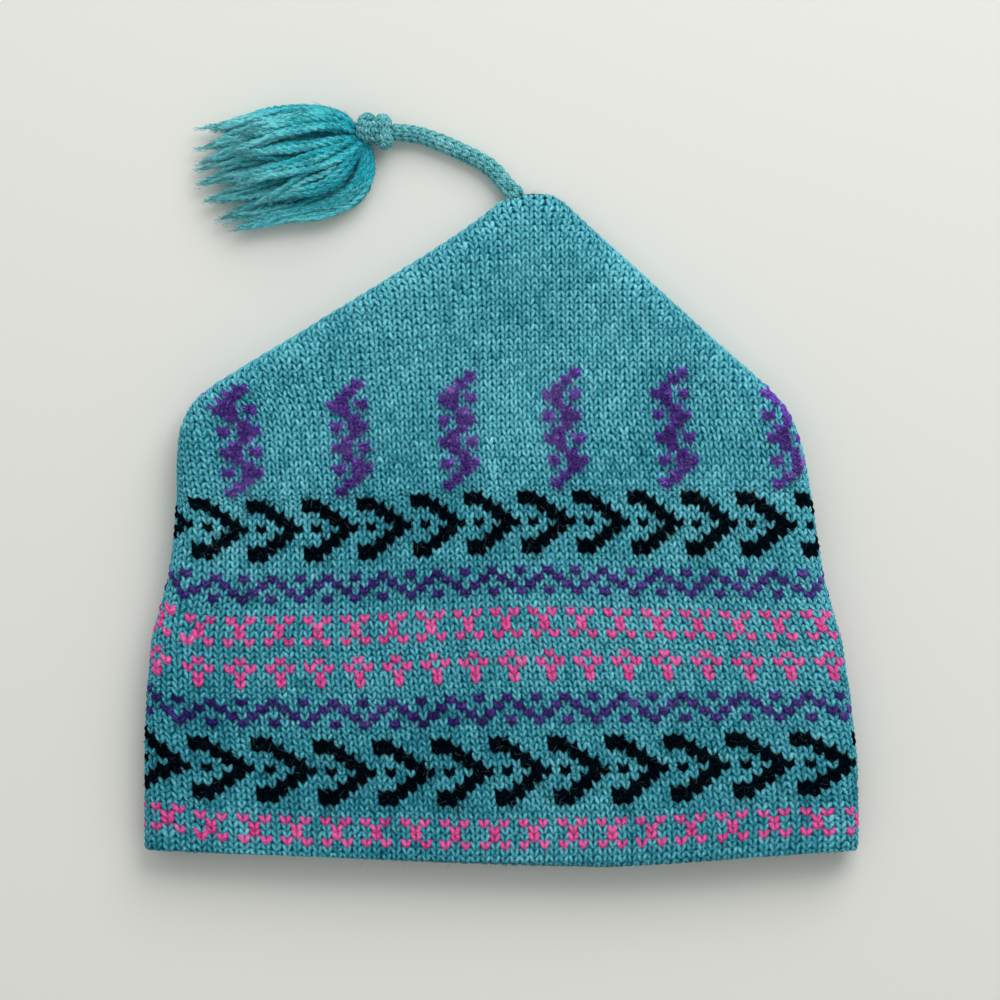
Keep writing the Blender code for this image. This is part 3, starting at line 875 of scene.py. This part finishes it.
def between(table, row, stops, value):
    """The table read at a row, then along its stops at a value, with its ends run on straight."""
    columns = np.stack([np.interp(row, table[:, 0], column) for column in table.T[1:]])
    stops = np.array(stops, float)
    at = np.clip(np.searchsorted(stops, value) - 1, 0, len(stops) - 2)
    share = (value - stops[at]) / (stops[at + 1] - stops[at])
    low = np.take_along_axis(columns, at[None], 0)[0]
    high = np.take_along_axis(columns, at[None] + 1, 0)[0]
    return low + share * (high - low)


def flat_run(row, front):
    """Where a layer would start if its folds were rolled out flat, and how far it runs."""
    left, right, _, _, _, fold, quarter, length = layer_shape(
        np.clip(level_of(row) / BODY_LENGTH, 0, 1), YARN_RISE, front
    )
    return left + fold - quarter if front else right - fold + quarter, length


def wale_turn(wale, row, front):
    """How far round the body a wale lies: by the lines above, then straight up over the crown."""
    low = np.minimum(row, CROWN_FROM)

    def front_share(at):
        return between(wale_lines, low, WALE_STOPS, at)

    share = front_share(wale)
    if not front:
        right, inner, left, outer = (
            front_share(np.full_like(low, at))
            for at in (LAST_STOP, LAST_STOP - STOP_REACH, FIRST_STOP, FIRST_STOP + STOP_REACH)
        )
        last = LAST_STOP + STOP_REACH * (1 - right) / (right - inner)
        first = FIRST_STOP - STOP_REACH * left / (outer - left)
        share = (wale - last) / (first + WALES_ROUND - last)
    way = 1 if front else -1
    start, length = flat_run(low, front)
    number, middle = CROWN_FRONT if front else CROWN_BACK
    blend = np.clip((row - CROWN_FROM) / (CROWN_BY - CROWN_FROM), 0, 1)
    x = (start + way * share * length) * (1 - blend) + (middle + way * (wale - number) * CROWN_WALE) * blend
    start, length = flat_run(row, front)
    share = way * (x - start) / length
    return share if front else 1 + share


rim_radius = WALL / 2 - YARN_RISE
rim_arc = pi * (rim_radius + YARN_RISE / 2)


def wall_point(turn, level):
    """The base of the stitches: up the outside, round the hem's edge and back up the inside."""
    around = np.clip(-level / rim_arc, 0, 1) * pi
    inset = WALL / 2 - rim_radius * np.cos(around)
    inside = np.maximum(-level - rim_arc, 0)
    points = body_point(turn, np.maximum(level, 0) + inside, inset)
    points[..., 1] -= rim_radius * np.sin(around)
    return points


def on_body(front):
    def base(wale, row):
        turn = wale_turn(wale, row, front)
        from_fold = np.mod(turn, 2)
        share = np.minimum(from_fold, 2 - from_fold)
        lift = between(row_lifts, row, LIFT_SHARES, share)
        return wall_point(turn, level_of(row) + lift)

    def place(wale, row):
        points = base(wale, row)
        along = base(wale + NEARBY, row) - base(wale - NEARBY, row)
        upward = base(wale, row + NEARBY) - base(wale, row - NEARBY)
        return points, unit(np.cross(along, upward))

    return place


# The colourwork is stranded knitting in bands, each charted here as its knitter reads it: top row
# first, x for a stitch of the band's own yarn. A chart repeats all round the hat.
Band = namedtuple("Band", "name bottom_row first_wale repeat chart")
BANDS = [
    Band("pink_crosses_lower", 3, -1, 4, ("x.x.", ".x..", ".x..", "x.x.")),
    Band("black_arrows_lower", 9, -1, 6, (
        "xx....", "xxx...", "..xx..", "...xx.", ".x..xx", "...xx.", "..xx..", "xxx...", "xx....")),
    Band("purple_zigzag_lower", 20, 1, 6, ("x..x..", ".x...x", "..x.x.", "x..x..")),
    Band("pink_tulips", 26, -1, 4, (".x..", "x.x.", ".x..", ".x..")),
    Band("pink_crosses_upper", 32, -1, 4, ("x.x.", ".x..", ".x..", "x.x.")),
    Band("purple_zigzag_upper", 38, 1, 6, ("x..x..", ".x...x", "..x.x.", "x..x..")),
    Band("black_arrows_upper", 44, -1, 6, (
        "xx....", "xxx...", "..xx..", "...xx.", ".x..xx", "...xx.", "..xx..", "xxx...", "xx....")),
    Band("purple_lozenges", 54, 3, 12, (
        "...x", "..x.", ".x..", "xx.x", ".x..", "..x.", "x.xx", "..x.",
        ".x..", "xx.x", ".x..", "..x.", "x.xx", "..x.", ".x..", "x...")),
]
FIRST_ROW, LAST_ROW = -3, 98
FRONT_WALES, BACK_WALES = np.arange(-46, 62), np.arange(30, 132)

front_stitches, back_stitches = [], []
for row in range(FIRST_ROW, LAST_ROW + 1):
    for front, wales, kept in ((True, FRONT_WALES, front_stitches), (False, BACK_WALES, back_stitches)):
        here = wales.astype(float)
        rows = np.full_like(here, row)
        turn = wale_turn(here, rows, front) - (0 if front else 1)
        over = 0.5 * CROWN_WALE / flat_run(rows, front)[1] if row > CROWN_FROM else 0.0
        kept.extend((w, row) for w in wales[(turn >= -over) & (turn < 1 + over)])


def band_of(wale, row):
    """The band whose yarn this stitch is knitted in, or the hat's own teal."""
    for band in BANDS:
        line = len(band.chart) - 1 - (row - band.bottom_row)
        if 0 <= line < len(band.chart):
            column = (wale - band.first_wale) % band.repeat
            if column < len(band.chart[line]) and band.chart[line][column] == "x":
                return band.name
    return "teal"


knitted = {}
for layer, kept in (("front", front_stitches), ("back", back_stitches)):
    for wale, row in kept:
        knitted.setdefault((layer, band_of(int(wale), row)), []).append((float(wale), float(row)))

teal_wool = wool("teal_wool", TEAL_DEEP, TEAL, TEAL_LIGHT, 0.00018, 0.08)
black_wool = wool(
    "black_wool", (0.0001, 0.0010, 0.0030, 1), (0.0004, 0.0040, 0.0080, 1), (0.0030, 0.0120, 0.0180, 1),
    0.0002, 0.0, hem_shade_painted=False, gloss=0.0,
)
purple_wool = wool(
    "purple_wool", (0.024, 0.009, 0.155, 1), (0.131, 0.045, 0.430, 1), (0.360, 0.210, 0.660, 1),
    0.0002, 0.05, clouds=0.5, hem_shade_painted=False, gloss=0.05,
)
dark_purple_wool = wool(
    "dark_purple_wool", (0.008, 0.004, 0.070, 1), (0.046, 0.023, 0.200, 1), (0.150, 0.100, 0.390, 1),
    0.0002, 0.05, clouds=0.5, hem_shade_painted=False, gloss=0.05,
)
pink_wool = wool(
    "pink_wool", (0.370, 0.007, 0.120, 1), (0.750, 0.057, 0.305, 1), (1.000, 0.270, 0.590, 1),
    0.00016, 0.05, clouds=0.08, streaks=0.8, hem_shade_painted=False,
)
stray_wool = wool(
    "stray_wool", (0.050, 0.050, 0.050, 1), (0.160, 0.150, 0.130, 1), (0.320, 0.300, 0.260, 1),
    0.0001, 0.0, hem_shade_painted=False, gloss=0.0,
)
Yarn = namedtuple("Yarn", "finish slot rise plump reach depth loose")
# The sixth column sets how strongly each yarn's legs carry a painted highlight on their ridges and painted
# shade at their edges.
YARNS = {
    "teal": Yarn(teal_wool, "teal_yarn", 1.0, 0.97, 1.0, 0.62, 1.0),
    "black": Yarn(black_wool, "black_yarn", 1.05, 1.25, 1.08, 0.3, 1.0),
    "purple_zigzag": Yarn(dark_purple_wool, "purple_yarn", 1.15, 1.42, 1.08, 0.45, 1.3),
    "purple_lozenges": Yarn(purple_wool, "purple_yarn", 1.25, 1.70, 1.22, 0.5, 2.0),
    "pink": Yarn(pink_wool, "pink_yarn", 1.20, 1.20, 1.04, 0.55, 1.3),
}
# Where one round gives way to the next, a few of the bands' stitches are pulled large
LARGE_STITCHES = {(-27, 6), (-25, 3), (-26, 20), (-25, 32), (-27, 35)}
LARGE = 1.4
LEG_FACES = {"front": (4, 4), "back": (3, 3)}
TEAL_SPLIT = 46
rng = np.random.default_rng(3)
for (layer, band), places in knitted.items():
    places = np.array(places)
    yarn = next(value for key, value in YARNS.items() if band.startswith(key))
    reach = yarn.reach * np.array([LARGE if tuple(spot) in LARGE_STITCHES else 1.0 for spot in places])
    parts = {f"{band}_{layer}": np.full(len(places), True)}
    if band == "teal":
        reach[:] = yarn.reach
        lower = places[:, 1] < TEAL_SPLIT
        parts = {f"teal_{layer}_lower": lower, f"teal_{layer}_upper": ~lower}
    for name, of_part in parts.items():
        wales, rows = places[of_part].T
        piece = stitches(
            name, wales, rows, on_body(layer == "front"), LEG_FACES[layer], YARN_RISE * yarn.rise,
            yarn.plump, yarn.finish, rng, reach=reach[of_part], depth=yarn.depth, loose=yarn.loose,
        )


# The yarns are brushed, so short loose fibres stand out of the stitches, most of all where the
# black and the purple have felted. A few pale ones have worked their way into the black.
Fuzz = namedtuple("Fuzz", "name band finish slot each shortest longest curl thickness tone lift height")
FUZZES = [
    Fuzz("black_fuzz", "black", black_wool, "black_yarn", 12.0, 0.0012, 0.0034, 1.8, 0.00012,
         0.50, 0.20, 0.95),
    Fuzz("purple_fuzz", "purple_lozenges", purple_wool, "purple_yarn", 56.0, 0.0008, 0.0021, 2.2, 0.00016,
         0.50, 0.50, 1.15),
    Fuzz("zigzag_fuzz", "purple_zigzag", dark_purple_wool, "purple_yarn", 26.0, 0.0008, 0.0018, 2.2, 0.00015,
         0.45, 0.25, 0.95),
    Fuzz("pink_fuzz", "pink", pink_wool, "pink_yarn", 6.0, 0.0008, 0.0018, 2.0, 0.00009, 0.60, 0.20, 0.95),
    Fuzz("stray_fuzz", "black", stray_wool, "black_yarn", 2.0, 0.0007, 0.0022, 2.6, 0.00006,
         0.45, 0.20, 0.95),
    Fuzz("teal_fuzz", "teal", teal_wool, "teal_yarn", 1.0, 0.0010, 0.0026, 2.2, 0.00006, 0.70, 0.20, 0.95),
]
FUZZ_SHARES = {"front": 1.0, "back": 0.15}
FUZZ_SPREAD = 0.22
ROOTS_ACROSS, ROOTS_UP = (-0.5, 0.5), (-0.4, 0.8)
FACING = 0.75
rng = np.random.default_rng(17)
for fuzz in FUZZES:
    roots, ways, outs = [], [], []
    for (layer, band), places in knitted.items():
        if not band.startswith(fuzz.band):
            continue
        places = np.array(places)
        hairs = int(fuzz.each * FUZZ_SHARES[layer] * len(places))
        wale, row = places[rng.integers(0, len(places), hairs)].T
        wale = wale + rng.uniform(*ROOTS_ACROSS, hairs)
        row = row + rng.uniform(*ROOTS_UP, hairs)
        points, normals = on_body(layer == "front")(wale, row)
        facing = np.abs(normals[:, 2]) > FACING
        points, normals = points[facing], normals[facing]
        flat = unit(np.cross(normals, rng.normal(0, 1, normals.shape)))
        roots.append(points + normals * (YARN_RISE * fuzz.height))
        ways.append(flat + normals * rng.uniform(0.0, fuzz.lift, (len(flat), 1)))
        outs.append(normals)
    roots, ways, outs = (np.concatenate(parts) for parts in (roots, ways, outs))
    lengths = rng.uniform(fuzz.shortest, fuzz.longest, len(roots))
    piece = fibres(
        fuzz.name, roots, ways, outs, lengths, fuzz.thickness, fuzz.finish, rng,
        curl=fuzz.curl, tone=fuzz.tone, spread=FUZZ_SPREAD,
    )


# Behind the stitches lie the strands of the same yarn. They are one closed sheet that fills the gaps between
# the legs, turns round the hem's edge and shows as purl inside the mouth.
# Its colour is painted shade: darker than the yarn, for the gaps that light hardly reaches.
PURL_PAINTED_SHADE = (0.001, 0.065, 0.105, 1)
PURL_PAINTED_LIGHT = (0.060, 0.330, 0.400, 1)
PURL_ROW_SCALE, PURL_WALE_SCALE = 122.0, 87.0
PURL_RELIEF, PURL_DEPTH = 0.8, 0.0006
GROUND_FACES = (160, 120)
GROUND_INNER = WALL - 0.0003
INNER_TOP = 0.955
INNER_SHARE, RIM_SHARE = 0.46, 0.52
RIM_REACH = 0.0006
LAST_TURN = 1.999999
GROUND_SEAM = 2e-5
shaded_ground_wool, ground_tree, ground_shader = finish_named("knit_ground", 0.95, 0.1)
place = ground_tree.nodes.new("ShaderNodeTexCoord").outputs["Object"]
purl_rows, purl_wales = (
    pattern(ground_tree, "TexWave", place, Scale=scale, Distortion=1.6, Detail=1.0)
    for scale in (PURL_ROW_SCALE, PURL_WALE_SCALE)
)
purl_rows.bands_direction = "Y"
purl_bumps_and_shade = worked(ground_tree, "MULTIPLY", purl_rows.outputs["Fac"], purl_wales.outputs["Fac"])
# Painted light and shade on the purl: lighter on its bumps, darker in the hollows between them.
coloured(ground_tree, ground_shader, purl_bumps_and_shade, ((0.0, PURL_PAINTED_SHADE), (1.0, PURL_PAINTED_LIGHT)))
raised(ground_tree, ground_shader, purl_bumps_and_shade, PURL_RELIEF, PURL_DEPTH)
patch, faces = grid_patch(*GROUND_FACES)
t = patch[:, 1]
angle = np.clip((t - INNER_SHARE) / (RIM_SHARE - INNER_SHARE), 0, 1) * pi
inside = np.maximum(1 - t / INNER_SHARE, 0) * INNER_TOP * BODY_LENGTH
outside = np.maximum(t - RIM_SHARE, 0) / (1 - RIM_SHARE) * BODY_LENGTH
inset = YARN_RISE + (GROUND_INNER - YARN_RISE) * (1 + np.cos(angle)) / 2
points = body_point(np.minimum(patch[:, 0] + 1, LAST_TURN), inside + outside, inset)
points[:, 1] -= RIM_REACH * np.sin(angle)
for edge in (0.0, 1.0):
    ring = np.isclose(t, edge)
    points[ring, 2] = points[ring, 2].mean()
ground = joined_piece(
    "knit_ground", points[None], faces[:, ::-1], patch, 0.2, shaded_ground_wool, merge=GROUND_SEAM
)
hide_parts("knit_body")
